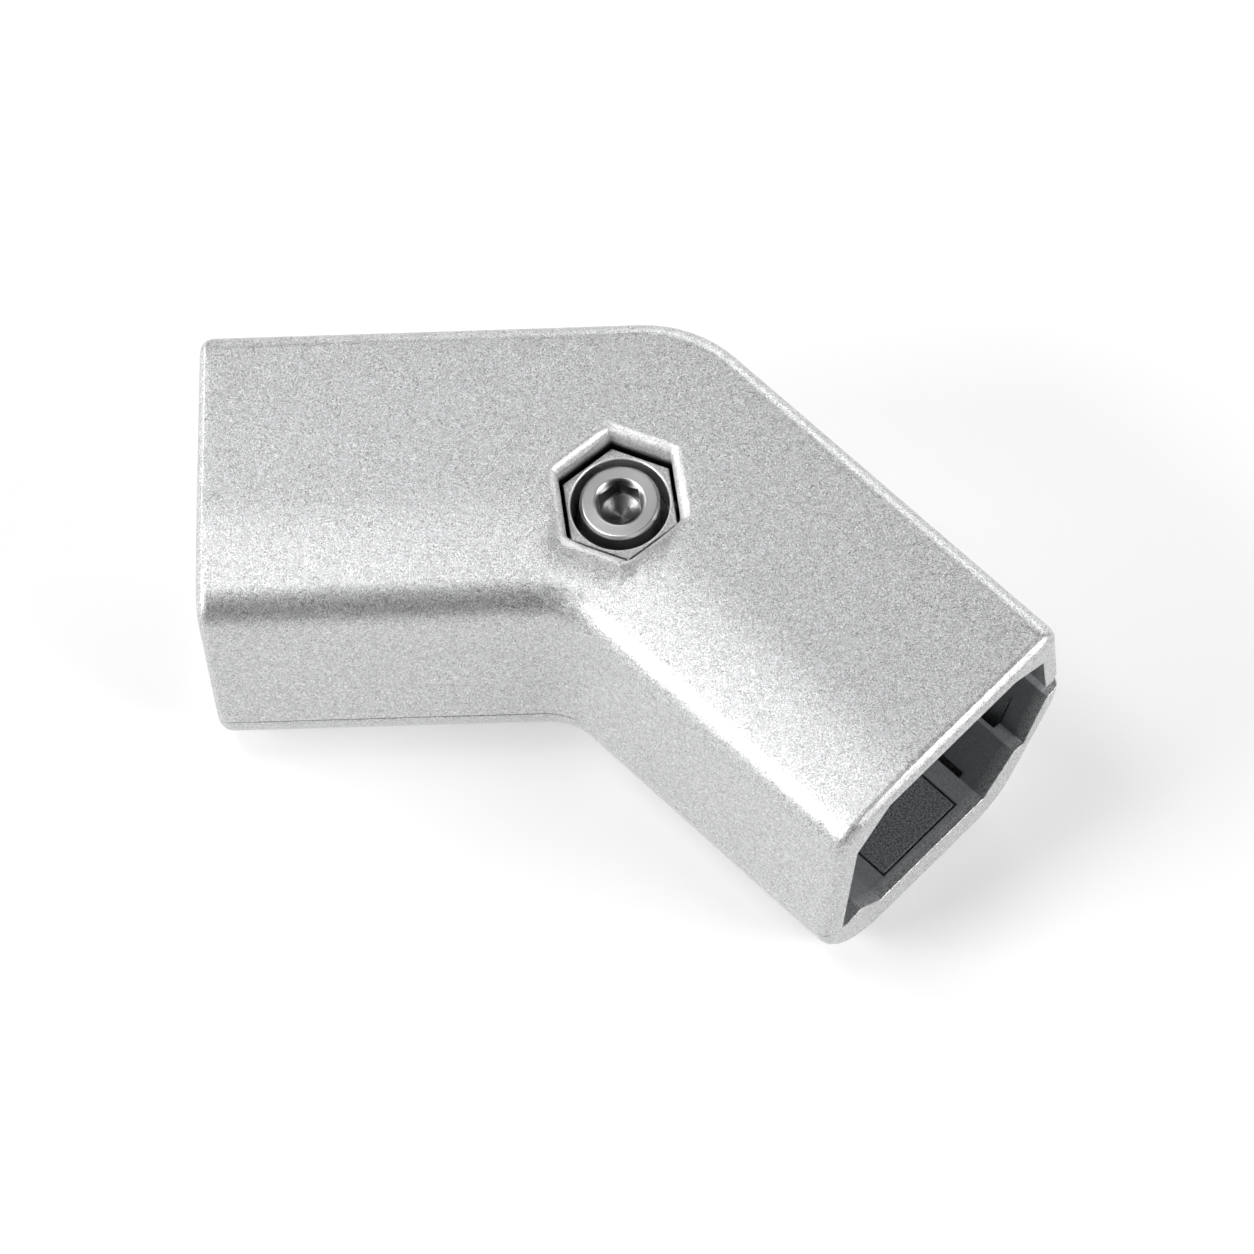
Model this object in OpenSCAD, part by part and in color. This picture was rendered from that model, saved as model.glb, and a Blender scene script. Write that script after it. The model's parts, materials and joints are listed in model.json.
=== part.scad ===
// Angled profile connector: two die-cast half shells drawn together by one screw.
// The two legs lie in the XY plane and mirror each other in the YZ plane, with the hollow
// side of the bend towards -Y. The origin is where the two leg centre lines cross, on the
// flat underside. In a section across a leg, u runs from the hollow side of the bend (minus)
// to its outer side (plus), and z runs up.

/* [Legs] */
// Turn from one leg to the other, in degrees
bend_turn = 45; // [30:1:55]
// Length of each leg from the crossing of the centre lines to its end face
leg_length = 53.9; // [50:0.1:70]
// Overall height
height = 36; // [34.5:0.25:40]
// Distance from the centre line to the turning centre of the rounded outer corner
outer_centre = 2.5; // [1.5:0.25:3.5]
// Radius of the rounded inner corner of the bend
inner_corner_r = 6; // [4:0.5:9]
// Radius of the rounded rim round each end face
rim_r = 1.6; // [0.8:0.1:2]

/* [Outer section] */
// Half width at the foot of the near wall, on the hollow side of the bend
near_foot = 24.2; // [23.5:0.1:26]
// How far the near wall leans in over the height
near_lean = 6; // [4:0.25:7]
// Half width to the outer face of the far wall
far_face = 20; // [19.5:0.1:22]
// Draft of the far wall over the height
far_draft = 0.6; // [0.3:0.1:1.2]
// Distance from the centre line to the start of the slope under the far wall
far_slope_start = 8.5; // [8:0.25:10]
// Height at which the slope meets the far wall
far_slope_height = 17; // [15:0.25:18]
// Fall of the crowned top from its flat to the near shoulder, in degrees
crown_fall = 8; // [6:0.5:12]
// Distance from the centre line to the corner of the crown, on the near side
crown_start = 7; // [6:0.25:8]
// Radius over which the flat top turns into the crown
crown_r = 55; // [40:1:60]
// Radius of the near shoulder
near_shoulder_r = 5.5; // [4:0.25:6.5]
// Radius of the far shoulder
far_shoulder_r = 2.5; // [1.5:0.25:3]
// Radius of the near foot
near_foot_r = 9.5; // [7:0.25:10.5]
// Radius at the foot and at the head of the far slope
far_slope_r = 9; // [6:0.5:10]

/* [Parting] */
// Height of the parting line on the near side
near_parting = 10; // [9:0.25:11]
// Height of the rim of the lower shell on the far side
far_parting = 19; // [18.5:0.25:20.5]
// Gap that the screw closes on the far side
far_gap = 3.4; // [2:0.1:4]
// Gap along the closed parting on the near side
near_gap = 0.05; // [0.02:0.01:0.1]

/* [Sockets] */
// Depth of each socket from the end face to its stop ledge
socket_depth = 30; // [26:0.5:32]
// Width of the stop ledge at the bottom of each socket
stop_ledge = 2; // [1.5:0.25:2.5]
// Thickness of the top wall
top_wall = 2.8; // [2.4:0.1:3.2]
// Height of the socket floor above the underside
floor_height = 6.4; // [6:0.1:7]
// Thickness of the side walls
side_wall = 2.9; // [2.4:0.1:3.2]
// Distance from the centre line to the near edge of the socket floor
floor_near = 13; // [12.5:0.25:14]
// Distance from the centre line to the far edge of the socket floor
floor_far = 5.5; // [5:0.25:6]
// Length of the land that carries the corner of the profile at each end of a socket
land_length = 4.2; // [3:0.1:5]
// Rise of the land from the floor to the step in the far wall
land_rise = 5.6; // [5:0.1:6]

/* [Clamp screw] */
// Distance of the screw from the crossing of the centre lines, towards the hollow side
screw_offset = 4.4; // [4:0.1:6]
// Radius of the screw shank
screw_r = 3; // [2.5:0.5:3]
// Radius of the screw head
head_r = 5; // [4.5:0.1:5.2]
// Height of the screw head
head_height = 6; // [5:0.1:6]
// Length of the screw past the nut
screw_past_nut = 1.7; // [1:0.1:2.5]
// Width across the flats of the hexagon socket in the head
key_flats = 5; // [4:0.5:5]
// Depth of the hexagon socket
key_depth = 3.2; // [2:0.1:3.5]
// Clearance between the screw shank and the holes that it passes through
screw_clearance = 0.3; // [0.2:0.05:0.4]
// Clearance between the screw and the nut that it turns in
thread_clearance = 0.05; // [0.02:0.01:0.09]

/* [Hexagonal bush] */
// Width of the bush across its flats
bush_flats = 13.3; // [13.2:0.1:14]
// Radius of the counterbore for the screw head
bush_bore_r = 6.15; // [6.1:0.05:6.25]
// Depth of the counterbore
bush_bore_depth = 6.9; // [6:0.1:7.5]
// Length of the bush
bush_length = 10.8; // [10:0.1:12]
// Depth of the top of the bush below the top of the shell
bush_sink = 3.8; // [3:0.1:4.5]
// Clearance round the bush in its pocket
pocket_clearance = 0.45; // [0.3:0.05:0.6]
// Width of the bevelled mouth of the pocket
pocket_mouth = 1.4; // [0.8:0.1:1.6]
// Wall round the pocket
pocket_wall = 2.2; // [1.8:0.1:2.6]
// Thickness of the floor of the pocket, which the screw draws down
pocket_floor = 2.8; // [2.4:0.1:3.4]

/* [Lock washer] */
// Outer radius of the lock washer
washer_outer_r = 5.9; // [5.5:0.05:6]
// Thickness of the lock washer
washer_thickness = 1.6; // [1.2:0.1:1.8]
// Width of the split in the lock washer
washer_split = 1; // [0.6:0.1:1.4]

/* [Nut] */
// Width of the nut across its flats
nut_flats = 10; // [9.5:0.1:10]
// Height of the nut
nut_height = 5; // [4:0.1:5.5]
// Height of the bearing face over the nut above the underside
nut_seat = 8.6; // [8.2:0.1:9.5]
// Clearance round the nut in its pocket
nut_clearance = 0.15; // [0.1:0.05:0.3]

/* [Dowels] */
// Radius of each dowel pin
dowel_r = 2; // [1.5:0.1:2.2]
// Length of each dowel pin
dowel_length = 14; // [12:0.5:16]
// Radius of the column round each dowel pin
dowel_column_r = 3.9; // [3.5:0.1:4.2]
// Place of each dowel along its leg
dowel_along = 10.5; // [9.5:0.25:11.5]
// Place of each dowel across its leg, towards the outer side
dowel_across = 8; // [7:0.25:8.5]
// Clearance round a dowel in the upper shell
dowel_clearance = 0.05; // [0.02:0.01:0.09]

/* [Grip pads] */
// Width of each grip pad across its leg
pad_width = 12.75; // [11:0.25:14]
// Length of each grip pad along its leg
pad_length = 21; // [16:0.5:23]
// Thickness of each grip pad
pad_thickness = 1.4; // [1:0.1:2]
// Distance of each grip pad from the end face
pad_setback = 2.2; // [2:0.1:3]
// Gap round each grip pad in its recess
pad_gap = 0.2; // [0.1:0.05:0.3]
// Distance from the centre line to the middle of each grip pad, towards the hollow side
pad_offset = 3.9; // [3.5:0.1:4.5]

/* [Hidden] */
$fn = 64;

// Steps in a rounded corner, for each 90 degrees
corner_steps = 8;
// Depth by which a cut runs past the face that it opens
cut_over = 1;
// Smallest radius left on a corner that is moved inwards
smallest_r = 0.3;
// Steps in the bend and in the rounded rim of a leg
bend_steps = 8;
rim_steps = 3;

half_turn = bend_turn / 2;
// Gap between the two screw posts, which lets the shells close on the profile
post_gap = 0.6;

// Where the turning centre of the inner corner lies, as u of the leg sections
inner_centre = -(near_foot + inner_corner_r);

bush_top = height - bush_sink;
bush_bottom = bush_top - bush_length;
washer_seat = bush_top - bush_bore_depth;
head_seat = washer_seat + washer_thickness;
screw_tip = nut_seat - nut_height - screw_past_nut;
// Height of the gap between the two screw posts
post_split = bush_bottom - pocket_floor - post_gap;
pocket_flats = bush_flats + 2 * pocket_clearance;
post_r = pocket_flats / sqrt(3) + pocket_wall;
socket_start = leg_length - socket_depth;
socket_ceiling = height - top_wall;

// Distance from the centre to a corner of a hexagon of the given width across its flats
function hex_r(flats) = flats / sqrt(3);

// Vectors for outlines: direction, outward normal and inset of a corner
function unit(v) = v / norm(v);
function outward(a, b) = let (d = unit(b - a)) [d[1], -d[0]];
function before(list, i) = list[(i + len(list) - 1) % len(list)];
function after(list, i) = list[(i + 1) % len(list)];

// A convex outline moved inwards by a distance, with its corners kept
function inset(points, by) = [
    for (i = [0 : len(points) - 1])
        let (n = outward(before(points, i), points[i]), m = outward(points[i], after(points, i)))
            points[i] - by * (n + m) / (1 + n * m)
];

// A convex outline with each corner rounded to its own radius
function rounded(points, radii) = [
    for (i = [0 : len(points) - 1])
        let (
            n = outward(before(points, i), points[i]),
            m = outward(points[i], after(points, i)),
            turn = acos(n * m),
            centre = points[i] - radii[i] * (n + m) / (1 + n * m),
            steps = max(2, ceil(corner_steps * turn / 90)),
            start = atan2(n[1], n[0])
        )
            for (k = [0 : steps])
                centre + radii[i] * [cos(start + k * turn / steps), sin(start + k * turn / steps)]
];

// Outline of the body across a leg: near foot, far foot, far wall, far shoulder, crown, near shoulder
function crown_drop(u) = (-crown_start - u) * tan(crown_fall);
// Share of the near wall's lean that is reached at its shoulder
shoulder_share = 0.93;
near_shoulder_u = -(near_foot - near_lean * shoulder_share);
body_corners = [
    [-near_foot, 0],
    [far_slope_start, 0],
    [far_face, far_slope_height],
    [far_face - far_draft, height],
    [-crown_start, height],
    [near_shoulder_u, height - crown_drop(near_shoulder_u)]
];
body_radii = [near_foot_r, far_slope_r, far_slope_r, far_shoulder_r, crown_r, near_shoulder_r];

function body_outline(by = 0) =
    rounded(inset(body_corners, by), [for (r = body_radii) max(r - by, smallest_r)]);

// Lean of the near wall, as a share of the height above the foot
function near_wall(z) =
    -near_foot + (near_shoulder_u + near_foot) * z / (height - crown_drop(near_shoulder_u));

// Outline of the socket: a floor, a ledge and a leaning wall on the near side, a faceted ceiling,
// and on the far side a wall that steps down to the land
near_inner = near_wall(near_parting) + side_wall;
far_inner = far_face - side_wall;
// Width of the bevels between the ceiling and the walls
ceiling_edge = 5;
// Step from the land to the far wall, across and down
step_across = 1.8;
step_fall = 0.6;
// Depth below the parting at which the near wall of the socket ends
wall_end = 0.3;
// Ledge at the foot of the near wall: its inner corner and its edge, from the wall and the parting
ledge_corner = [0.6, 1];
ledge_edge = [3.4, 0.4];
socket_corners = [
    [-floor_near, floor_height],
    [floor_far, floor_height],
    [floor_far + land_rise, floor_height + land_rise],
    [floor_far + land_rise + step_across, floor_height + land_rise - step_fall],
    [far_inner, far_parting],
    [far_inner - far_draft, socket_ceiling - ceiling_edge / 2],
    [far_inner - far_draft - ceiling_edge, socket_ceiling],
    [near_wall(height) + side_wall + ceiling_edge, socket_ceiling],
    [near_wall(height - ceiling_edge) + side_wall, socket_ceiling - ceiling_edge],
    [near_inner, near_parting - wall_end],
    [near_inner + ledge_corner[0], near_parting - ledge_corner[1]],
    [near_inner + ledge_edge[0], near_parting - ledge_edge[1]]
];

// Outline of the hollow under the slope, between the two lands of a socket
hollow_wall = 3;
// Distance of the hollow's corners from the slope's foot, from the far wall and past the land
hollow_foot = 0.5;
hollow_side = 0.6;
hollow_reach = 1;
// Height by which the hollow opens into the socket above its floor
hollow_open = 0.1;
hollow_corners = [
    [floor_far, floor_height + hollow_open],
    [floor_far, hollow_wall],
    [far_slope_start - hollow_foot, hollow_wall],
    [far_inner - hollow_side, far_slope_height],
    [floor_far + land_rise + hollow_reach, floor_height + land_rise]
];

// Places things on both legs, with x along the leg, y across it and z up
module on_legs() {
    for (side = [0, 1])
        mirror([side, 0, 0])
            rotate([0, 0, -half_turn])
                children();
}

// A solid along a leg, from one distance to another, with the outline of its children
module along_leg(from, to) {
    translate([from, 0, 0])
        rotate([90, 0, 90])
            linear_extrude(to - from)
                children();
}

// Place on the plan of a point given along and across the right-hand leg
function on_plan(along, across) = [
    along * cos(half_turn) + across * sin(half_turn),
    -along * sin(half_turn) + across * cos(half_turn)
];
function mirrored(p) = [-p[0], p[1]];

// Outline points round a leg, at one step of its rounded rim. Side is 1 on the right and -1 on
// the left, and the last step is the end face.
function leg_ring(side, step) = [
    let (turn = 90 * step / rim_steps, along = leg_length - rim_r * (1 - sin(turn)))
        for (p = body_outline(rim_r * (1 - cos(turn))))
            let (q = on_plan(along, p[0]))
                [side * q[0], q[1], p[1]]
];

// Outline points across the bend, at an angle from its middle. Those on the hollow side turn
// about the inner centre, and the others about the outer one.
function bend_ring(angle) = [
    for (p = body_outline())
        let (centre = p[0] < 0 ? inner_centre : outer_centre, r = p[0] - centre)
            [r * sin(angle), centre / cos(half_turn) + r * cos(angle), p[1]]
];

// Whole outer form of the closed connector, solid: one skin from the left end to the right end
module body_form() {
    rings = concat(
        [for (k = [rim_steps : -1 : 0]) leg_ring(-1, k)],
        [for (k = [0 : bend_steps]) bend_ring(half_turn * (2 * k / bend_steps - 1))],
        [for (k = [0 : rim_steps]) leg_ring(1, k)]
    );
    count = len(rings[0]);
    last = len(rings) - 1;
    skin = [
        for (i = [0 : last - 1])
            for (j = [0 : count - 1])
                let (next = (j + 1) % count)
                    [i * count + j, (i + 1) * count + j, (i + 1) * count + next, i * count + next]
    ];
    left_end = [for (j = [0 : count - 1]) j];
    right_end = [for (j = [count - 1 : -1 : 0]) last * count + j];
    polyhedron([for (ring = rings) each ring], concat([left_end], skin, [right_end]));
}

// Sockets, the hollows under their slopes and the smaller chamber that joins them in the bend
module cavity_form() {
    on_legs() {
        along_leg(socket_start, leg_length + cut_over)
            polygon(socket_corners);
        along_leg(socket_start + land_length, leg_length - land_length)
            polygon(hollow_corners);
    }
    chamber_form();
}

// Chamber through the bend, narrower than the sockets by the stop ledge
module chamber_form() {
    reach = 2 * leg_length;
    for (side = [0, 1])
        mirror([side, 0, 0])
            intersection() {
                rotate([0, 0, -half_turn])
                    along_leg(-far_face, socket_start + cut_over)
                        polygon(inset(body_corners, side_wall + stop_ledge));
                translate([-cut_over / 4, -reach / 2, 0])
                    cube([reach, reach, height]);
            }
}

// Space above or below the parting, on the near and on the far side of the centre lines
module parting_zone(near_z, far_z, depth) {
    reach = 2 * leg_length;
    tip = on_plan(reach, 0);
    translate([0, 0, near_z])
        linear_extrude(depth)
            polygon([[0, 0], tip, [reach, -reach], [-reach, -reach], mirrored(tip)]);
    translate([0, 0, far_z])
        linear_extrude(depth)
            polygon([[0, 0], mirrored(tip), [-reach, reach], [reach, reach], tip]);
}

// A six-sided prism with two corners on the X axis, at the screw
module hex_prism(flats, from, to) {
    translate([0, -screw_offset, from])
        cylinder(h = to - from, r = hex_r(flats), $fn = 6);
}

// A round bar at the screw
module screw_round(r, from, to) {
    translate([0, -screw_offset, from])
        cylinder(h = to - from, r = r);
}

// Round bars at the two dowels
module dowel_rounds(r, from, to) {
    on_legs()
        translate([dowel_along, dowel_across, from])
            cylinder(h = to - from, r = r);
}

// Columns round the dowels, kept inside the walls of the chamber
module dowel_columns(from, to) {
    intersection() {
        dowel_rounds(dowel_column_r, from, to);
        on_legs()
            along_leg(0, 2 * dowel_along)
                polygon(inset(body_corners, side_wall));
    }
}

// Lower half shell, with its screw post, dowel columns, nut pocket and pad recesses
module lower_shell() {
    color("silver")
        difference() {
            union() {
                difference() {
                    intersection() {
                        body_form();
                        parting_zone(near_parting - near_gap - height, far_parting - height, height);
                    }
                    cavity_form();
                }
                screw_round(post_r, floor_height - stop_ledge, post_split);
                dowel_columns(0, post_split);
            }
            screw_round(screw_r + screw_clearance, nut_seat - cut_over, post_split + cut_over);
            hex_prism(nut_flats + 2 * nut_clearance, -cut_over, nut_seat);
            dowel_rounds(dowel_r, post_split - dowel_length / 2, post_split + cut_over);
            pad_recesses();
        }
}

// Upper half shell, with its screw post, bush pocket and dowel columns
module upper_shell() {
    color("gainsboro")
        difference() {
            union() {
                difference() {
                    intersection() {
                        body_form();
                        parting_zone(near_parting, far_parting + far_gap, height);
                    }
                    cavity_form();
                }
                screw_round(post_r, post_split + post_gap, socket_ceiling - cut_over);
                dowel_columns(post_split + post_gap, socket_ceiling - cut_over);
            }
            screw_round(screw_r + screw_clearance, post_split, bush_bottom + cut_over);
            bush_pocket();
            dowel_rounds(dowel_r + dowel_clearance, post_split, post_split + dowel_length / 2 + cut_over);
        }
}

// Pocket for the bush, open to the top, with six flats and a rounded mouth
module bush_pocket() {
    flat = pocket_flats / 2;
    steps = 5;
    mouth = [
        for (k = [0 : steps])
            let (a = 90 * k / steps)
                [flat + pocket_mouth * (1 - cos(a)), height - pocket_mouth * (1 - sin(a))]
    ];
    side = concat([[flat, bush_bottom]], mouth, [[flat + pocket_mouth, height + cut_over]]);
    other = [for (i = [len(side) - 1 : -1 : 0]) [-side[i][0], side[i][1]]];
    translate([0, -screw_offset, 0])
        intersection() {
            for_flat(0) polygon(concat(side, other));
            for_flat(60) polygon(concat(side, other));
            for_flat(120) polygon(concat(side, other));
        }
}

// A long bar with the outline of its children, turned to one pair of flats
module for_flat(turn) {
    reach = 3 * pocket_flats;
    rotate([0, 0, turn])
        translate([-reach / 2, 0, 0])
            rotate([90, 0, 90])
                linear_extrude(reach)
                    children();
}

// Recesses for the grip pads in the floors of the sockets
module pad_recesses() {
    on_legs()
        pad_block(pad_gap, floor_height - pad_thickness, floor_height + cut_over);
}

// Block with the plan of a grip pad on a leg, grown by a gap
module pad_block(grow, from, to) {
    start = leg_length - pad_setback - pad_length;
    translate([start - grow, -pad_offset - pad_width / 2 - grow, from])
        cube([pad_length + 2 * grow, pad_width + 2 * grow, to - from]);
}

// Hexagonal bush in the upper shell, counterbored for the screw head
module hex_bush() {
    color("lightgray")
        difference() {
            hex_prism(bush_flats, bush_bottom, bush_top);
            screw_round(bush_bore_r, washer_seat, bush_top + cut_over);
            screw_round(screw_r + screw_clearance, bush_bottom - cut_over, washer_seat + cut_over);
        }
}

// Socket head screw, with chamfered edges and a drilled hexagon socket
module clamp_screw() {
    edge = 0.4;
    head_top = head_seat + head_height;
    color("white")
        difference() {
            union() {
                screw_round(screw_r, screw_tip + edge, head_seat);
                translate([0, -screw_offset, screw_tip])
                    cylinder(h = edge, r1 = screw_r - edge, r2 = screw_r);
                screw_round(head_r, head_seat, head_top - edge);
                translate([0, -screw_offset, head_top - edge])
                    cylinder(h = edge, r1 = head_r, r2 = head_r - edge);
            }
            hex_prism(key_flats, head_top - key_depth, head_top + cut_over);
            translate([0, -screw_offset, head_top - key_depth - key_flats / 4])
                cylinder(h = key_flats / 4, r1 = 0, r2 = key_flats / 2);
        }
}

// Split spring washer under the screw head
module lock_washer() {
    color("dimgray")
        difference() {
            screw_round(washer_outer_r, washer_seat, head_seat);
            screw_round(screw_r + screw_clearance, washer_seat - cut_over, head_seat + cut_over);
            translate([0, -screw_offset, washer_seat])
                rotate([0, 0, 180 - half_turn])
                    translate([0, -washer_split / 2, -cut_over])
                        cube([washer_outer_r + cut_over, washer_split, washer_thickness + 2 * cut_over]);
        }
}

// Hexagon nut held from turning in the underside of the lower shell
module clamp_nut() {
    color("darkgray")
        difference() {
            hex_prism(nut_flats, nut_seat - nut_height, nut_seat);
            screw_round(screw_r + thread_clearance, 0, nut_seat + cut_over);
        }
}

// Two dowel pins that line up the shells
module dowel_pins() {
    fit = 0.01;
    from = post_split - dowel_length / 2;
    color("darkgray")
        dowel_rounds(dowel_r - fit, from, from + dowel_length);
}

// Grip pad in the floor of the right-hand socket
module grip_pad_right() {
    color("darkslategray")
        rotate([0, 0, -half_turn])
            pad_block(0, floor_height - pad_thickness, floor_height);
}

// Grip pad in the floor of the left-hand socket
module grip_pad_left() {
    mirror([1, 0, 0])
        grip_pad_right();
}

lower_shell();
upper_shell();
hex_bush();
clamp_screw();
lock_washer();
clamp_nut();
dowel_pins();
grip_pad_left();
grip_pad_right();
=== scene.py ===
# %% [markdown]
# Angled profile connector
#
# The real object is a die-cast clamp that joins two profiles at an angle of 135 degrees. Its
# two half shells lie one on the other, and a socket head screw draws them together. The
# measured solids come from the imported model, and this script gives them their edges, finishes,
# light and camera. It works in metres.

# %% Frame
import json
import math

import bmesh
import bpy
from mathutils import Matrix, Vector
from mathutils.bvhtree import BVHTree


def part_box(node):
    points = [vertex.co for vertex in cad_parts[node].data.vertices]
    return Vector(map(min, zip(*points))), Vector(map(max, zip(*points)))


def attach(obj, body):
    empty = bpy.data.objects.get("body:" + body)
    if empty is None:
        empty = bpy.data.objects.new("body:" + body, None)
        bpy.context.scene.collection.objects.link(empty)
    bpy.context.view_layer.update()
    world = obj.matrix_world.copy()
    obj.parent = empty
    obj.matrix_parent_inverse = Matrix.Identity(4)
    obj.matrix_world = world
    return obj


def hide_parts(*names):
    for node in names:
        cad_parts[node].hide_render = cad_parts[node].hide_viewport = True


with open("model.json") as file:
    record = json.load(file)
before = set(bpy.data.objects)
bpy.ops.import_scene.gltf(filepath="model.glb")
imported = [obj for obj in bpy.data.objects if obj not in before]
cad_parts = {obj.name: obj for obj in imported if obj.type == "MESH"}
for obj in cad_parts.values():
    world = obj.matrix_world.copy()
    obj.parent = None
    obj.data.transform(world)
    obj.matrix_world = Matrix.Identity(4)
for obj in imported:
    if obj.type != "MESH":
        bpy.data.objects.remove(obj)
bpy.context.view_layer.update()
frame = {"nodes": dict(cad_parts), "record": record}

MM = 0.001
BODY_OF = {}
for body, members in frame["record"]["behaviour"]["bodies"].items():
    for node in members:
        BODY_OF[node] = body
print("nodes", sorted(frame["nodes"]))

# %% [markdown]
# The solids arrive as loose triangles. A copy is merged and its flat regions are joined, so
# that each remaining edge is a real edge of the casting. Editing the solid itself would break
# the link with the measured model, so only copies are worked on.

# %% Merged copies
SAME_POINT = 0.002 * MM
SAME_PLANE = math.radians(0.4)


def merged_copy(node):
    shape = bmesh.new()
    shape.from_mesh(frame["nodes"][node].data)
    bmesh.ops.remove_doubles(shape, verts=shape.verts, dist=SAME_POINT)
    bmesh.ops.dissolve_limit(
        shape,
        angle_limit=SAME_PLANE,
        verts=shape.verts,
        edges=shape.edges,
        delimit={"NORMAL"},
    )
    return shape


print("corners merge within", SAME_POINT / MM, "mm")

# %% [markdown]
# A finished piece stands for its solid and moves with the same body. Its mesh is already in
# place, so the object stays at the origin, unturned and unscaled. It is parented to the empty
# of that body, its solid is hidden, and a table keeps which solid each piece replaces.

# %% Finished pieces
pieces = {}


def finished_piece(node, shape):
    name = node + "_finished"
    mesh = bpy.data.meshes.new(name)
    shape.to_mesh(mesh)
    shape.free()
    for face in mesh.polygons:
        face.use_smooth = True
    piece = bpy.data.objects.new(name, mesh)
    bpy.context.scene.collection.objects.link(piece)
    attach(piece, BODY_OF[node])
    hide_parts(node)
    pieces[node] = piece
    print(node, "faces", len(mesh.polygons))
    return piece


# %% [markdown]
# Smooth shading averages the directions of the faces at a corner. On a casting with wide flats
# and narrow rounded edges that would bend the light on the flats too, so a Weighted Normal
# modifier lets the largest face decide. It comes last, after anything that adds faces.

# %% Shading that follows the flats
SHARP = math.radians(28)
ROUNDING_STEPS = 2


def shade_by_area(piece):
    shading = piece.modifiers.new("shading by area", "WEIGHTED_NORMAL")
    shading.mode = "FACE_AREA"
    shading.weight = 50
    shading.keep_sharp = True


def round_edges(piece, edge_mm):
    edge = piece.modifiers.new("rounded edges", "BEVEL")
    edge.limit_method = "ANGLE"
    edge.angle_limit = SHARP
    edge.width = edge_mm * MM
    edge.segments = ROUNDING_STEPS
    edge.use_clamp_overlap = True
    shade_by_area(piece)


print("edges over", round(math.degrees(SHARP)), "degrees are rounded")

# %% [markdown]
# The two half shells are the large castings, and every edge of a casting is slightly round. A
# Bevel modifier could round them, but the next steps read the finished faces, so the bevel
# operator does it here. The pocket for the bush interrupts the long faces of the top, so
# planes across the bend cut these faces short there. A corner of the pocket then only affects
# the light within a millimetre or two of it.

# %% Rounded casting edges
CASTING_EDGE = 0.16
SLICE_STEP, SLICES_EACH_WAY = 1.3, 10
SLICES = [SLICE_STEP * i for i in range(-SLICES_EACH_WAY, SLICES_EACH_WAY + 1)]
ON_PLANE = 0.0001 * MM


def rounded_shell(node, slices_mm):
    shape = merged_copy(node)
    sharp = [e for e in shape.edges if e.is_manifold and e.calc_face_angle() > SHARP]
    bmesh.ops.bevel(
        shape,
        geom=sharp,
        offset=CASTING_EDGE * MM,
        offset_type="OFFSET",
        affect="EDGES",
        segments=ROUNDING_STEPS,
        profile=0.5,
        material=-1,
        clamp_overlap=False,
    )
    for x in slices_mm:
        bmesh.ops.bisect_plane(
            shape,
            geom=shape.verts[:] + shape.edges[:] + shape.faces[:],
            dist=ON_PLANE,
            plane_co=(x * MM, 0, 0),
            plane_no=(1, 0, 0),
        )
    print(node, "rounded edges", len(sharp))
    return shape


# %% [markdown]
# The outside of the real casting is blasted to a light silver. The inside is given darker greys,
# which are painted shade for the light that doesn't reach it. A face is an inner one if a
# straight line out of it meets a shell again. The answer is kept on the faces as an attribute,
# and the finish reads it. Painting by hand would need a new start after each change of the shape.

# %% Inner faces of the shells
SCREW_LOW, SCREW_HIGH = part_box("clamp_screw")
SCREW_AXIS = Vector(((SCREW_LOW.x + SCREW_HIGH.x) / 2, (SCREW_LOW.y + SCREW_HIGH.y) / 2, 0))
BUSH_LOW, BUSH_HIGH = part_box("hex_bush")
POCKET_REACH, POCKET_BELOW_BUSH = 10.5 * MM, 0.5 * MM
UPRIGHT = 0.3
RAY_START, SIGHT, NEAR_WALL = 0.05 * MM, 90 * MM, 5 * MM
# A face whose nearest wall is far off takes the whole painted shade, and one with a wall close by,
# as between the two shells, takes half of it.
WHOLLY_INNER, PARTLY_INNER = 1.0, 0.5


def shell_tree():
    both = bmesh.new()
    for node in ("lower_shell", "upper_shell"):
        both.from_mesh(frame["nodes"][node].data)
    walls = BVHTree.FromBMesh(both)
    both.free()
    return walls


def mark_inner_faces(shape, walls):
    # Both marks lead to painted shade: the inner faces darken, and the upright walls of the pocket
    # turn near black low down in the gap round the bush.
    inner = shape.faces.layers.float.new("inner")
    pocket = shape.faces.layers.float.new("pocket")
    count = 0
    for face in shape.faces:
        middle = face.calc_center_median()
        across = (middle - SCREW_AXIS).xy.length
        in_pocket = across < POCKET_REACH and middle.z > BUSH_LOW.z - POCKET_BELOW_BUSH
        if in_pocket and abs(face.normal.z) < UPRIGHT:
            face[pocket] = 1.0
        hit = walls.ray_cast(middle + face.normal * RAY_START, face.normal, SIGHT)
        if hit[0] is not None and not in_pocket:
            face[inner] = WHOLLY_INNER if hit[3] > NEAR_WALL else PARTLY_INNER
            count += 1
    print("inner faces", count, "of", len(shape.faces))


# %% [markdown]
# The crown of the casting falls towards the hollow side of the bend, and there the mouth of the
# pocket is cut deeper, down to the bush. That is a soft form of the blasted casting, so it is
# made here, by sinking the corners of the rounded mouth on that side. A sculpted mouth would
# look much the same, but it wouldn't follow a change of the solid.

# %% Deeper mouth on the hollow side
SIXTH = math.radians(60)
POCKET_FLATS, MOUTH_WIDTH, MOUTH_SLACK = 14.2, 1.39, 0.02
HOLLOW_SIDE = Vector((0.5, -0.866))
TURN_FROM, TURN_RANGE = 0.2, 0.55
RIM_ABOVE_BUSH, DEEPEST = 0.15 * MM, 1.9 * MM


def angle_from_flat(out):
    return math.atan2(out.y, out.x) % SIXTH - SIXTH / 2


def across_flats(out):
    return 2 * out.length * math.cos(angle_from_flat(out)) / MM


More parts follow.
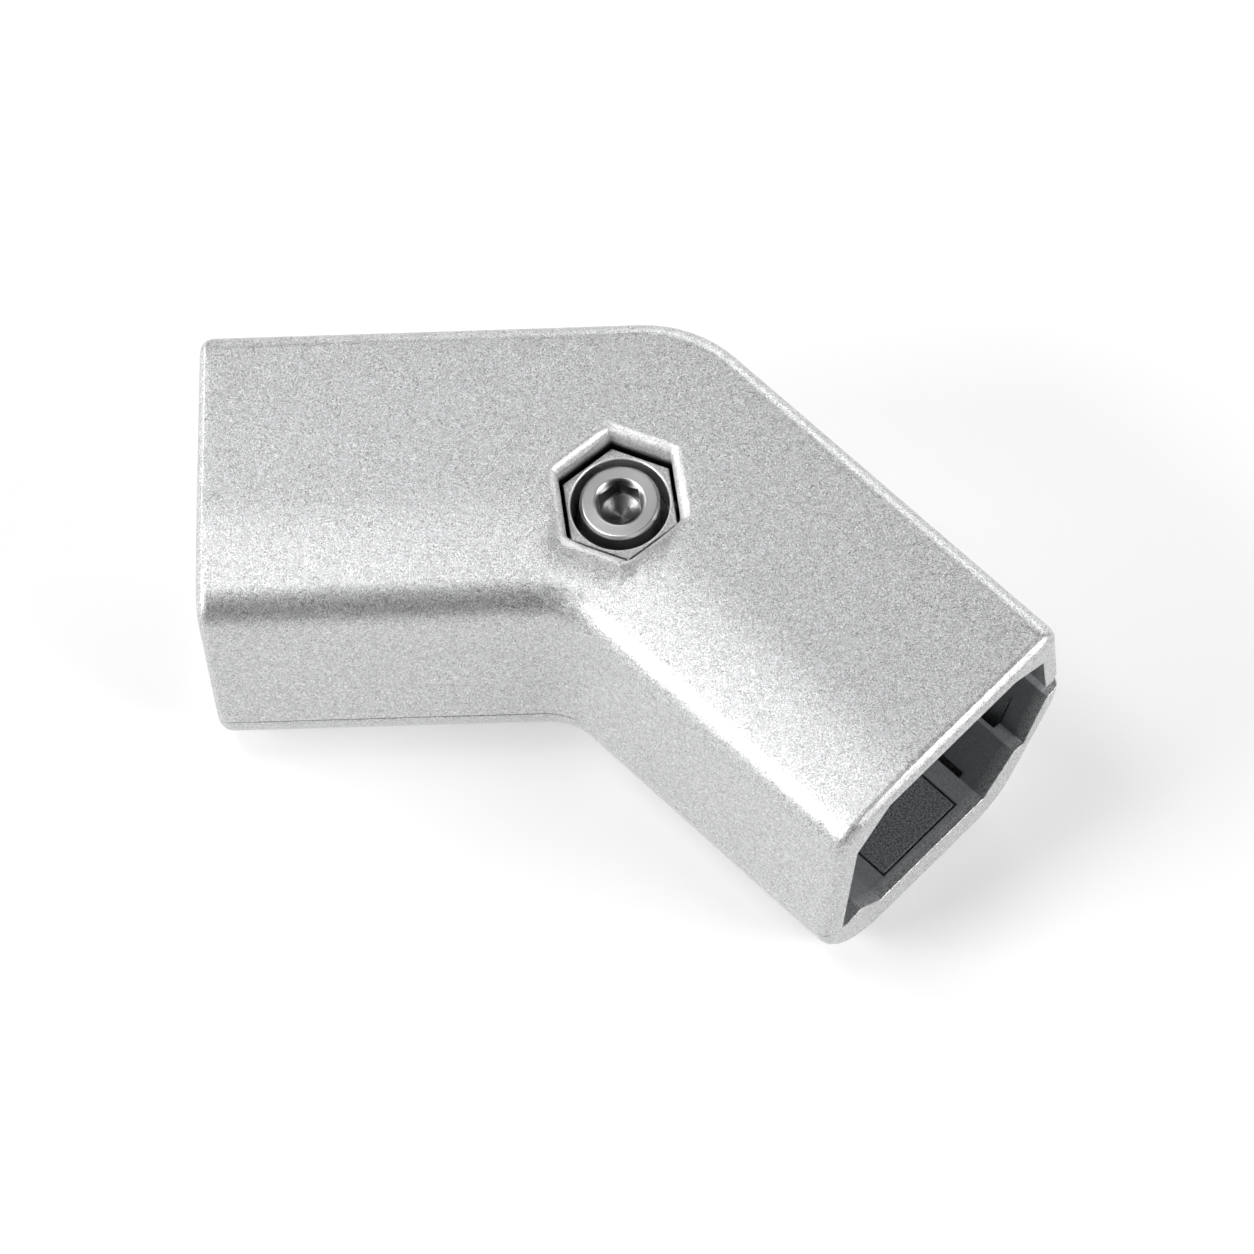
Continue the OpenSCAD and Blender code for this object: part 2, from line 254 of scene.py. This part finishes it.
def deepen_mouth(shape):
    sunk = 0
    for vert in shape.verts:
        out = (vert.co - SCREW_AXIS).xy
        width = (across_flats(out) - POCKET_FLATS) / 2
        above = vert.co.z - BUSH_HIGH.z - RIM_ABOVE_BUSH
        if out.length > POCKET_REACH or above < 0 or not -MOUTH_SLACK < width < MOUTH_WIDTH:
            continue
        facing = out.normalized().dot(HOLLOW_SIDE)
        turned = min(max((facing - TURN_FROM) / TURN_RANGE, 0.0), 1.0)
        turned = turned * turned * (3 - 2 * turned)
        fall = math.sqrt(max(1 - max(width, 0) / MOUTH_WIDTH, 0.0))
        vert.co.z -= min(above, DEEPEST) * turned * fall
        sunk += 1
    print("mouth corners", sunk)


# %% [markdown]
# Both shells go through the same steps, from the merged copy to the shading. Only the upper one
# holds the pocket, so only that one is sliced and gets the deeper mouth. Modifiers could do
# some of the steps, but the marks on the faces need them in this order.

# %% Finished shells
shell_walls = shell_tree()
for node, slices in (("lower_shell", ()), ("upper_shell", SLICES)):
    shape = rounded_shell(node, slices)
    mark_inner_faces(shape, shell_walls)
    if node == "upper_shell":
        deepen_mouth(shape)
    shade_by_area(finished_piece(node, shape))

# %% [markdown]
# The screw and its bush are turned pieces with a hexagon in them. One closed loop of edges is
# extruded again and again, and each new loop is set round or six-sided, at its own size and
# height. A spin could not make the six-sided part, and a boolean cut would leave worse faces.
# A height may also be a rule that gives each corner its own, by its distance from the axis.

# %% Stack of loops
LOOP_EDGES = 96
CRISP = math.radians(6)


def set_loop(verts, kind, size_mm, height):
    for vert in verts:
        out = (vert.co - SCREW_AXIS).xy
        reach = size_mm * MM
        if kind == "hexagon":
            reach = size_mm / 2 * MM / math.cos(angle_from_flat(out))
        place = SCREW_AXIS.xy + out.normalized() * reach
        vert.co = (place.x, place.y, height(reach) if callable(height) else height)


def stacked_piece(node, loops, hollow):
    shape = bmesh.new()
    centre = Matrix.Translation(SCREW_AXIS)
    bmesh.ops.create_circle(shape, segments=LOOP_EDGES, radius=MM, matrix=centre)
    set_loop(shape.verts, *loops[0])
    first = edges = shape.edges[:]
    for size in loops[1:] + (loops[:1] if hollow else []):
        made = bmesh.ops.extrude_edge_only(shape, edges=edges)["geom"]
        edges = [e for e in made if isinstance(e, bmesh.types.BMEdge)]
        set_loop([v for v in made if isinstance(v, bmesh.types.BMVert)], *size)
    if hollow:
        bmesh.ops.remove_doubles(shape, verts=shape.verts, dist=SAME_POINT)
    else:
        bmesh.ops.edgeloop_fill(shape, edges=first)
        bmesh.ops.edgeloop_fill(shape, edges=edges)
    bmesh.ops.recalc_face_normals(shape, faces=shape.faces)
    print(node, "mm3", round(shape.calc_volume() / MM**3, 1))
    for edge in shape.edges:
        edge.smooth = not (edge.is_manifold and edge.calc_face_angle() > CRISP)
    return finished_piece(node, shape)


# %% [markdown]
# The screw is a socket head cap screw: a plain shank, a tall round head with a small chamfer,
# and a six-sided socket with a drilled, conical bottom. Its loops run up the outside from the
# tip of the shank and then down into the socket. At both edges of the flat ring a narrow band
# slopes a little, because on the real screw each of them shows as a thin bright line. Where a
# round chamfer cuts the six-sided socket, its lower border dips at each flat.

# %% Clamp screw
HEAD_R, HEAD_HEIGHT, SHANK_R = 5.0, 6.0, 3.0
CHAMFER, LINE = 0.4, 0.07
KEY_FLATS, KEY_DEPTH = 5.0, 3.2
KEY_MOUTH_R, KEY_MOUTH_SLOPE = 3.2, 0.8
CONE_R, CONE_TIP_R, CONE_DEPTH = KEY_FLATS / 2 - 0.1, 0.05, 1.2
HEAD_TOP = SCREW_HIGH.z
HEAD_SEAT = HEAD_TOP - HEAD_HEIGHT * MM
line_edge = HEAD_TOP - LINE / 3 * MM
socket_floor = HEAD_TOP - KEY_DEPTH * MM


def mouth_height(reach):
    return HEAD_TOP - (KEY_MOUTH_R * MM - reach) * KEY_MOUTH_SLOPE


stacked_piece(
    "clamp_screw",
    [
        ("circle", SHANK_R - CHAMFER, SCREW_LOW.z),
        ("circle", SHANK_R, SCREW_LOW.z + CHAMFER * MM),
        ("circle", SHANK_R, HEAD_SEAT),
        ("circle", HEAD_R, HEAD_SEAT),
        ("circle", HEAD_R, HEAD_TOP - CHAMFER * MM),
        ("circle", HEAD_R - CHAMFER + LINE, line_edge),
        ("circle", HEAD_R - CHAMFER - LINE, HEAD_TOP),
        ("circle", KEY_MOUTH_R + LINE, HEAD_TOP),
        ("circle", KEY_MOUTH_R, line_edge),
        ("hexagon", KEY_FLATS, mouth_height),
        ("hexagon", KEY_FLATS, socket_floor),
        ("circle", CONE_R, socket_floor),
        ("circle", CONE_TIP_R, socket_floor - CONE_DEPTH * MM),
    ],
    hollow=False,
)

# %% [markdown]
# The bush is a hexagon bar with a counterbore for the screw head. Its loops run down the
# outside and back up through the bore, and the last one is merged with the first. A cylinder
# cut out of a prism would need a boolean, which leaves long thin faces round the bore.

# %% Hexagonal bush
BUSH_FLATS, BORE_R, HOLE_R, BORE_DEPTH = 13.3, 6.15, 3.3, 6.9
BREAK, BORE_LINE = 0.12, 0.16
bore_floor = BUSH_HIGH.z - BORE_DEPTH * MM
stacked_piece(
    "hex_bush",
    [
        ("hexagon", BUSH_FLATS - 2 * BREAK, BUSH_HIGH.z),
        ("hexagon", BUSH_FLATS, BUSH_HIGH.z - BREAK * MM),
        ("hexagon", BUSH_FLATS, BUSH_LOW.z + BREAK * MM),
        ("hexagon", BUSH_FLATS - 2 * BREAK, BUSH_LOW.z),
        ("circle", HOLE_R, BUSH_LOW.z),
        ("circle", HOLE_R, bore_floor),
        ("circle", BORE_R, bore_floor),
        ("circle", BORE_R, BUSH_HIGH.z - BORE_LINE * MM),
        ("circle", BORE_R + BORE_LINE, BUSH_HIGH.z),
    ],
    hollow=True,
)

# %% [markdown]
# The lock washer is one turn of flat bar with a split. A rectangle spun through a little less
# than a full turn makes it, with both ends closed. A full ring would need a cut for the split.

# %% Lock washer
WASHER_LOW, WASHER_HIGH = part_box("lock_washer")
WASHER_R, SPLIT = 5.9, 1.0
HALF_BEND = 22.5
SPLIT_AT = math.radians(180 - HALF_BEND)


def washer_shape():
    shape = bmesh.new()
    corners = [(HOLE_R, WASHER_LOW.z), (WASHER_R, WASHER_LOW.z)]
    corners += [(WASHER_R, WASHER_HIGH.z), (HOLE_R, WASHER_HIGH.z)]
    points = [shape.verts.new((radius * MM, 0, height)) for radius, height in corners]
    section = shape.faces.new(points)
    half_split = SPLIT / 2 / WASHER_R
    bmesh.ops.rotate(
        shape, verts=shape.verts, matrix=Matrix.Rotation(SPLIT_AT + half_split, 3, "Z")
    )
    bmesh.ops.translate(shape, verts=shape.verts, vec=SCREW_AXIS)
    bmesh.ops.spin(
        shape,
        geom=[section],
        cent=SCREW_AXIS,
        axis=(0, 0, 1),
        angle=2 * math.pi - 2 * half_split,
        steps=LOOP_EDGES,
        use_duplicate=False,
    )
    bmesh.ops.recalc_face_normals(shape, faces=shape.faces)
    return shape


round_edges(finished_piece("lock_washer", washer_shape()), edge_mm=0.12)

# %% [markdown]
# The nut, the dowel pins and the grip pads keep the shape of their solids. Nothing else reads
# their faces, so a Bevel modifier is enough to round their edges.

# %% Small pieces with rounded edges
EDGES_MM = {"clamp_nut": 0.2, "dowel_pins": 0.2, "grip_pad_left": 0.15, "grip_pad_right": 0.15}
for node, edge_mm in EDGES_MM.items():
    round_edges(finished_piece(node, merged_copy(node)), edge_mm)
print("small pieces", len(EDGES_MM))

# %% [markdown]
# A finish is a small graph of nodes. Wiring each node by hand hides the idea, so a class wraps
# a socket and lets a Python expression add the Math nodes. Every node comes from one function,
# which sets its settings first and then fills or links its sockets.

# %% Shader maths
class Value:
    def __init__(self, tree, socket):
        self.tree = tree
        self.socket = socket

    def math(self, operation, *others):
        return add_node(self.tree, "ShaderNodeMath", {"operation": operation}, [self, *others])

    def __add__(self, other):
        return self.math("ADD", other)

    def __sub__(self, other):
        return self.math("SUBTRACT", other)

    def __rsub__(self, other):
        return add_node(self.tree, "ShaderNodeMath", {"operation": "SUBTRACT"}, [other, self])

    def __mul__(self, other):
        return self.math("MULTIPLY", other)

    __radd__ = __add__
    __rmul__ = __mul__


def fill(tree, socket, value):
    if isinstance(value, Value):
        tree.links.new(value.socket, socket)
    else:
        socket.default_value = value


def add_node(tree, kind, settings=None, values=(), output=0):
    node = tree.nodes.new(kind)
    for name, setting in (settings or {}).items():
        setattr(node, name, setting)
    pairs = values.items() if isinstance(values, dict) else enumerate(values)
    for key, value in pairs:
        fill(tree, node.inputs[key], value)
    return Value(tree, node.outputs[output])


print("shader maths ready")

# %% [markdown]
# Each finish starts from the Principled shader and from Object coordinates, which stay on the
# piece when it moves. The same few kinds of node come back in all of them, so each kind gets a
# short name here.

# %% Finish helpers
def new_finish(name):
    finish = bpy.data.materials.new(name)
    finish.use_nodes = True
    tree = finish.node_tree
    surface = tree.nodes["Principled BSDF"]
    place = add_node(tree, "ShaderNodeTexCoord", output="Object")
    return finish, tree, surface, place


def feed(tree, surface, values):
    for name, value in values.items():
        fill(tree, surface.inputs[name], value)


def grain(tree, place, size_mm, detail=2.0, distortion=0.0):
    scale = 1 / (size_mm * MM)
    values = {"Vector": place, "Scale": scale, "Detail": detail, "Distortion": distortion}
    return add_node(tree, "ShaderNodeTexNoise", values=values)


def ramp(tree, value, begin, end, smooth=False, low=0.0):
    settings = {"interpolation_type": "SMOOTHSTEP" if smooth else "LINEAR"}
    values = {"Value": value, "From Min": begin, "From Max": end, "To Min": low}
    return add_node(tree, "ShaderNodeMapRange", settings, values)


def vector_math(tree, operation, *values):
    output = "Value" if operation in ("DOT_PRODUCT", "LENGTH") else "Vector"
    return add_node(tree, "ShaderNodeVectorMath", {"operation": operation}, values, output)


def blend(tree, share, first, second):
    values = {0: share, 6: first, 7: second}
    return add_node(tree, "ShaderNodeMix", {"data_type": "RGBA"}, values, output=2)


def bump(tree, height, strength, depth_mm):
    values = {"Strength": strength, "Distance": depth_mm * MM, "Height": height}
    return add_node(tree, "ShaderNodeBump", values=values)


def height_of(tree, place):
    return add_node(tree, "ShaderNodeSeparateXYZ", values=[place], output="Z")


def grey(level, tint=(1.0, 1.0, 1.0)):
    return (level * tint[0], level * tint[1], level * tint[2], 1.0)


print("white", grey(1.0))

# %% [markdown]
# Turning leaves circles round the screw, and the painted highlight on the rim of the pocket
# follows the same axis. The axis isn't at the origin, so a Mapping node moves the coordinates
# onto it first. A second piece as the origin would be simpler, but the exported model would lose
# it.

# %% Distance from the screw's axis
def from_axis(tree, place):
    values = {"Vector": place, "Location": tuple(-SCREW_AXIS)}
    centred = add_node(tree, "ShaderNodeMapping", values=values)
    flat = vector_math(tree, "MULTIPLY", centred, (1.0, 1.0, 0.0))
    return flat, vector_math(tree, "LENGTH", flat)


print("axis of the screw", tuple(round(v, 5) for v in SCREW_AXIS))

# %% [markdown]
# The rim of the pocket gets a bright, ragged band, a painted highlight for the light that its
# rounded mouth catches. It follows the six flats, so it reads the largest of the distances in
# the three directions that face them, and the grain makes its border uneven. It stays near the
# top of the casting. A painted map would need its own layout of the surface, which this rule
# does without.

# %% Painted highlight on the rim of the pocket
RIM_WAYS = [
    (math.cos(math.radians(a)), math.sin(math.radians(a)), 0.0) for a in (30, 90, 150)
]
RIM_FROM, RIM_TO = 7.5 * MM, 8.7 * MM
RIM_RAGGED, RIM_FADE = 1.0 * MM, 0.5 * MM
# Between these two heights the upright walls of the pocket take painted shade, reaching near black
# at the lower one and below it, in the gap round the bush.
GAP_BOTTOM, GAP_TOP = BUSH_HIGH.z + 0.2 * MM, BUSH_HIGH.z + 1.5 * MM


def painted_rim_highlight(tree, place, height, speck):
    centred = from_axis(tree, place)[0]
    reaches = [vector_math(tree, "DOT_PRODUCT", centred, way).math("ABSOLUTE") for way in RIM_WAYS]
    reach = reaches[0].math("MAXIMUM", reaches[1]).math("MAXIMUM", reaches[2])
    near = ramp(tree, reach + (speck - 0.5) * RIM_RAGGED, RIM_TO, RIM_FROM, smooth=True)
    high = ramp(tree, height, GAP_TOP - RIM_FADE, GAP_TOP + RIM_FADE)
    return near * high


print("painted rim highlight", RIM_FROM / MM, "to", RIM_TO / MM, "mm from the axis")

# %% [markdown]
# The inside of a leg is painted darker with its depth, as painted shade. Both legs point away
# from the bend, one of them mirrored, so the distance along a leg comes from the size of X,
# whatever its sign, and from Y. Lamps alone would leave the deep inside too light, because they
# shine straight in.

# %% Depth inside a leg
ALONG_X = (math.cos(math.radians(HALF_BEND)), 0.0, 0.0)
ALONG_Y = (0.0, -math.sin(math.radians(HALF_BEND)), 0.0)
LEG_END = max(
    abs(v.co.x) * ALONG_X[0] + v.co.y * ALONG_Y[1]
    for v in frame["nodes"]["lower_shell"].data.vertices
)


def from_leg_end(tree, place):
    across = vector_math(tree, "DOT_PRODUCT", vector_math(tree, "ABSOLUTE", place), ALONG_X)
    back = vector_math(tree, "DOT_PRODUCT", place, ALONG_Y)
    return LEG_END - (across + back)


print("a leg ends at", round(LEG_END / MM, 2), "mm along it")

# %% [markdown]
# The castings are blasted with fine grit. That leaves a light silver grey with a grain of
# about a third of a millimetre, so one noise drives the colour, the roughness and a shallow
# bump. Distortion draws the spots of the noise out into the short worm-like marks of the real
# one. A photograph of a real casting would carry its own light and shade with it.

# %% Blasted casting
SPECK_LOW, SPECK_HIGH = 0.37, 0.63
COOL = (0.985, 0.99, 1.0)
# The two inner greys are painted shade for the inside of the shells. It fades in from 0.4 to 2
# millimetres inside the end of a leg, so the rim at the opening keeps the outside colour.
INNER_SHADE_LOW, INNER_SHADE_HIGH = (0.18, 0.19, 0.20, 1.0), (0.32, 0.335, 0.35, 1.0)
INNER_FROM, INNER_TO = 0.4 * MM, 2.0 * MM
INNER_METAL, INNER_ROUGHER = 0.3, 0.2
# This near black is painted shade, used deep inside a leg and low in the gap round the bush.
PAINTED_SHADE = (0.015, 0.016, 0.018, 1.0)
# Between these depths the painted shade of the inside turns almost wholly to near black.
DEEP_SHADE_FROM, DEEP_SHADE_TO, DEEP_SHADE_SHARE = 6 * MM, 26 * MM, 0.92
# The white band on the rim of the pocket is a painted highlight, with less metal where it lies.
RIM_BRIGHT, RIM_SPECKS, RIM_LESS_METAL = 0.3, 0.45, 0.2
SPECK_ROUGHER = 0.10


# The inner colour is painted shade, and deeper in a leg it turns further towards the near black,
# also painted shade.
def cast_colour(tree, place, low, high, spread, inner):
    outside = blend(tree, spread, grey(low, COOL), grey(high, COOL))
    inside_shade = blend(tree, spread, INNER_SHADE_LOW, INNER_SHADE_HIGH)
    deep_shade = ramp(tree, from_leg_end(tree, place), DEEP_SHADE_FROM, DEEP_SHADE_TO, smooth=True)
    return blend(tree, inner, outside, blend(tree, deep_shade * DEEP_SHADE_SHARE, inside_shade, PAINTED_SHADE))


def blasted_casting(name, low, high, grain_mm, rough, metal, depth_mm, glint_ring_mm=None):
    finish, tree, surface, place = new_finish(name)
    speck = grain(tree, place, grain_mm, detail=1.5, distortion=3.0)
    spread = ramp(tree, speck, SPECK_LOW, SPECK_HIGH)
    # The inner mark brings in the painted shade of the inside.
    inner = add_node(tree, "ShaderNodeAttribute", {"attribute_name": "inner"}, output="Fac")
    inner = inner * ramp(tree, from_leg_end(tree, place), INNER_FROM, INNER_TO)
    pocket = add_node(tree, "ShaderNodeAttribute", {"attribute_name": "pocket"}, output="Fac")
    height = height_of(tree, place)
    # A painted highlight brightens the rim of the pocket.
    rim = painted_rim_highlight(tree, place, height, speck)
    cast = cast_colour(tree, place, low, high, spread, inner)
    cast = blend(tree, rim * (RIM_BRIGHT + spread * RIM_SPECKS), cast, grey(1.0))
    # A thin white ring round the bore of the bush is a painted highlight, for the light on its
    # small chamfer.
    if glint_ring_mm:
        past_line = (from_axis(tree, place)[1] - glint_ring_mm * MM).math("ABSOLUTE")
        line = past_line.math("LESS_THAN", BORE_LINE / 2 * MM)
        cast = blend(tree, line, cast, grey(1.0))
    # Low on the upright walls of the pocket, in the gap round the bush, the colour turns to near
    # black: painted shade.
    low_shade = ramp(tree, height, GAP_TOP, GAP_BOTTOM)
    feed(
        tree,
        surface,
        {
            "Base Color": blend(tree, pocket * low_shade, cast, PAINTED_SHADE),
            "Roughness": rough + spread * SPECK_ROUGHER + inner * INNER_ROUGHER,
            "Metallic": metal - inner * (metal - INNER_METAL) - rim * RIM_LESS_METAL,
            "Normal": bump(tree, speck, 1.0, depth_mm),
        },
    )
    return finish


cast_metal = blasted_casting(
    "blasted casting", low=0.24, high=0.92, grain_mm=0.30, rough=0.31, metal=0.76, depth_mm=0.032
)
cast_bush = blasted_casting(
    "cast bush",
    low=0.36,
    high=0.76,
    grain_mm=0.35,
    rough=0.36,
    metal=0.7,
    depth_mm=0.03,
    glint_ring_mm=BORE_R + BORE_LINE * 0.75,
)
print(cast_metal.name, cast_bush.name)

# %% [markdown]
# The screw is turned bright, so its flat ring carries fine circles round its axis. They are
# waves of the distance from that axis, and they spread each highlight across the circles. The
# walls of its socket catch little light, so below the mouth they are painted dark grey as
# painted shade; the drilled bottom keeps most of the bright colour.

# %% Turned steel
# Below this height the walls of the socket are painted dark grey, a painted shade, and the cone at
# the bottom takes only a fifth of it.
SOCKET_SHADE_TOP = HEAD_TOP - 0.25 * MM
CONE_EDGE, CONE_BRIGHT = 0.05 * MM, 0.8
SOCKET_SHADE_GREY = 0.12


def turned_steel(name, level, rough, ring_mm, depth_mm):
    finish, tree, surface, place = new_finish(name)
    radius = from_axis(tree, place)[1]
    rings = (radius * (2 * math.pi / (ring_mm * MM))).math("SINE")
    soft = grain(tree, place, size_mm=0.8)
    height = height_of(tree, place)
    # Painted shade darkens the walls of the socket below its mouth.
    low_shade = ramp(tree, height, HEAD_TOP, SOCKET_SHADE_TOP)
    in_socket = radius.math("LESS_THAN", (KEY_MOUTH_R + LINE) * MM) * low_shade
    in_cone = height.math("LESS_THAN", socket_floor + CONE_EDGE) * CONE_BRIGHT
    socket_shade = in_socket * (1.0 - in_cone)
    feed(
        tree,
        surface,
        {
            "Base Color": blend(tree, socket_shade, grey(level), grey(SOCKET_SHADE_GREY)),
            "Metallic": 1.0,
            "Roughness": rough + soft * 0.08,
            "Normal": bump(tree, rings, 1.0, depth_mm),
        },
    )
    return finish


bright_steel = turned_steel("turned steel", level=0.68, rough=0.28, ring_mm=0.3, depth_mm=0.003)
print(bright_steel.name)

# %% [markdown]
# The nut and the pins are plain steel, and the lock washer is blackened. A soft noise varies
# their colour and roughness by a tenth or so, because metal of one even colour looks like
# plastic.

# %% Plain metals
def plain_metal(name, level, rough, metal=1.0):
    finish, tree, surface, place = new_finish(name)
    soft = grain(tree, place, size_mm=0.7)
    feed(
        tree,
        surface,
        {
            "Base Color": blend(tree, soft, grey(level * 0.9), grey(level * 1.1)),
            "Metallic": metal,
            "Roughness": rough + soft * 0.1,
        },
    )
    return finish


plated_steel = plain_metal("plated steel", level=0.55, rough=0.3)
black_steel = plain_metal("black steel", level=0.02, rough=0.22, metal=0.4)
print(plated_steel.name, black_steel.name)

# %% [markdown]
# The grip pads are dark rubber with a coarse grain, which keeps a profile from sliding out. At
# this size the grain is smaller than a modelled bump would be worth, so one noise gives both
# its colour and its relief.

# %% Pad rubber
PAD_LOW, PAD_HIGH = 0.36, 0.64
PAD_TINT = (0.92, 1.0, 1.06)


def pad_rubber_finish():
    finish, tree, surface, place = new_finish("pad rubber")
    coarse = ramp(tree, grain(tree, place, size_mm=0.22, detail=3.0), PAD_LOW, PAD_HIGH)
    feed(
        tree,
        surface,
        {
            "Base Color": blend(tree, coarse, grey(0.05, PAD_TINT), grey(0.26, PAD_TINT)),
            "Roughness": 0.75,
            "Normal": bump(tree, coarse, strength=0.8, depth_mm=0.06),
        },
    )
    return finish


pad_rubber = pad_rubber_finish()
print(pad_rubber.name)

# %% [markdown]
# Each piece gets one finish. The list also gives each finish a slot name, which the loop below
# doesn't use. One list keeps both together, so a finish is changed in one place.

# %% Finishes on the pieces
FINISHES = [
    ("lower_shell", cast_metal, "cast_metal"),
    ("upper_shell", cast_metal, "cast_metal"),
    ("hex_bush", cast_bush, "cast_bush"),
    ("clamp_screw", bright_steel, "bright_steel"),
    ("lock_washer", black_steel, "black_steel"),
    ("clamp_nut", plated_steel, "plated_steel"),
    ("dowel_pins", plated_steel, "plated_steel"),
    ("grip_pad_left", pad_rubber, "pad_rubber"),
    ("grip_pad_right", pad_rubber, "pad_rubber"),
]
for node, finish, slot_name in FINISHES:
    piece = pieces[node]
    piece.data.materials.clear()
    piece.data.materials.append(finish)
print("finished pieces", len(FINISHES))

# %% [markdown]
# The object lies on a white sheet. The photograph shows it pure white with a faint shadow,
# which a lit surface alone doesn't give without too much light on the object. So what the
# camera and the reflections see of the sheet is partly plain white, and wholly white away from
# the object.

# %% White paper
WHITE_NEAR, WHITE_FROM, WHITE_TO = 0.40, 0.07, 0.15
WHITE_MIRRORED = 0.75


def white_paper():
    finish, tree, surface, place = new_finish("white paper")
    feed(tree, surface, {"Base Color": grey(0.93), "Roughness": 0.9, "Specular IOR Level": 0.1})
    distance = vector_math(tree, "LENGTH", place)
    away = ramp(tree, distance, WHITE_FROM, WHITE_TO, smooth=True, low=WHITE_NEAR)
    seen = add_node(tree, "ShaderNodeLightPath", output="Is Camera Ray")
    mirrored = add_node(tree, "ShaderNodeLightPath", output="Is Glossy Ray")
    mirrored = mirrored + add_node(tree, "ShaderNodeLightPath", output="Is Transmission Ray")
    share = seen * away + mirrored.math("MINIMUM", 1.0) * WHITE_MIRRORED
    lit = Value(tree, surface.outputs[0])
    plain = add_node(tree, "ShaderNodeEmission")
    paper = add_node(tree, "ShaderNodeMixShader", values=[share, lit, plain])
    fill(tree, tree.nodes["Material Output"].inputs[0], paper)
    return finish


print("the paper is plain white from", WHITE_TO / MM, "mm on")

# %% [markdown]
# A large plane is the sheet. It lies a hair below the object, so that the two never share a
# plane, which would show as flicker. A curved backdrop isn't needed, because the plane reaches
# past what the camera sees.

# %% Floor
FLOOR_REACH, FLOOR_GAP = 3.0, 0.05 * MM
floor_shape = bmesh.new()
bmesh.ops.create_grid(floor_shape, x_segments=1, y_segments=1, size=FLOOR_REACH)
floor_mesh = bpy.data.meshes.new("floor")
floor_shape.to_mesh(floor_mesh)
floor_shape.free()
floor_mesh.transform(Matrix.Translation((0, 0, -FLOOR_GAP)))
floor = bpy.data.objects.new("floor", floor_mesh)
bpy.context.scene.collection.objects.link(floor)
floor_mesh.materials.append(white_paper())
print("floor", floor.name)

# %% [markdown]
# Wide area lamps give the long soft highlights that show the shape of a matt casting. Small
# lamps would give hard spots, and a bright world alone would flatten the shape. Every lamp
# points at the middle of the object.

# %% Light
MIDDLE = Vector((0, 0, 0))
LAMPS = [
    ("overhead_left", (-0.28, -0.02, 0.87), (0.3, 0.3), 2.4),
    ("left_front", (-0.65, -0.55, 0.5), (0.45, 0.45), 7.8),
    ("left", (-0.9, 0.1, 0.35), (0.4, 0.4), 2.4),
    ("far", (0.0, 0.85, 0.4), (1.0, 0.4), 4.0),
    ("right", (0.8, 0.0, 0.5), (0.4, 0.4), 5.5),
    ("far_high", (-0.15, 0.55, 0.8), (0.5, 0.4), 0.2),
]


def soft_lamp(name, place, size, power):
    lamp = bpy.data.lights.new(name, "AREA")
    lamp.shape = "RECTANGLE"
    lamp.size, lamp.size_y = size
    lamp.energy = power
    thing = bpy.data.objects.new(name, lamp)
    thing.location = place
    thing.rotation_mode = "QUATERNION"
    thing.rotation_quaternion = (MIDDLE - Vector(place)).to_track_quat("-Z", "Y")
    bpy.context.scene.collection.objects.link(thing)


for name, place, size, power in LAMPS:
    soft_lamp(name, place, size, power)
world = bpy.data.worlds.new("studio")
world.use_nodes = True
sky = world.node_tree.nodes["Background"]
sky.inputs["Color"].default_value = grey(1.0)
sky.inputs["Strength"].default_value = 0.03
bpy.context.scene.world = world

# %% [markdown]
# The camera stands where the photograph's lines say: a long lens, high above the hollow side.
# Its three directions were fitted to the outline of the part, so they are written as they came
# out and turned into a rotation, instead of being tracked to a target.

# %% Camera
RIGHT = Vector((0.92487, 0.375701, -0.058853))
UP = Vector((-0.32348, 0.858613, 0.397674))
BACK = Vector((0.199939, -0.348759, 0.915637))
lens = bpy.data.cameras.new("camera")
lens.sensor_width = 36.0
lens.lens = 187.29
lens.clip_start, lens.clip_end = 0.01, 20.0
camera = bpy.data.objects.new("camera", lens)
camera.rotation_mode = "QUATERNION"
camera.rotation_quaternion = Matrix((RIGHT, UP, BACK)).transposed().to_quaternion()
camera.location = (0.166511, -0.297581, 0.76255)
bpy.context.scene.collection.objects.link(camera)
bpy.context.scene.camera = camera
bpy.context.scene.view_settings.view_transform = "Standard"
print("camera height", round(camera.location.z, 3))
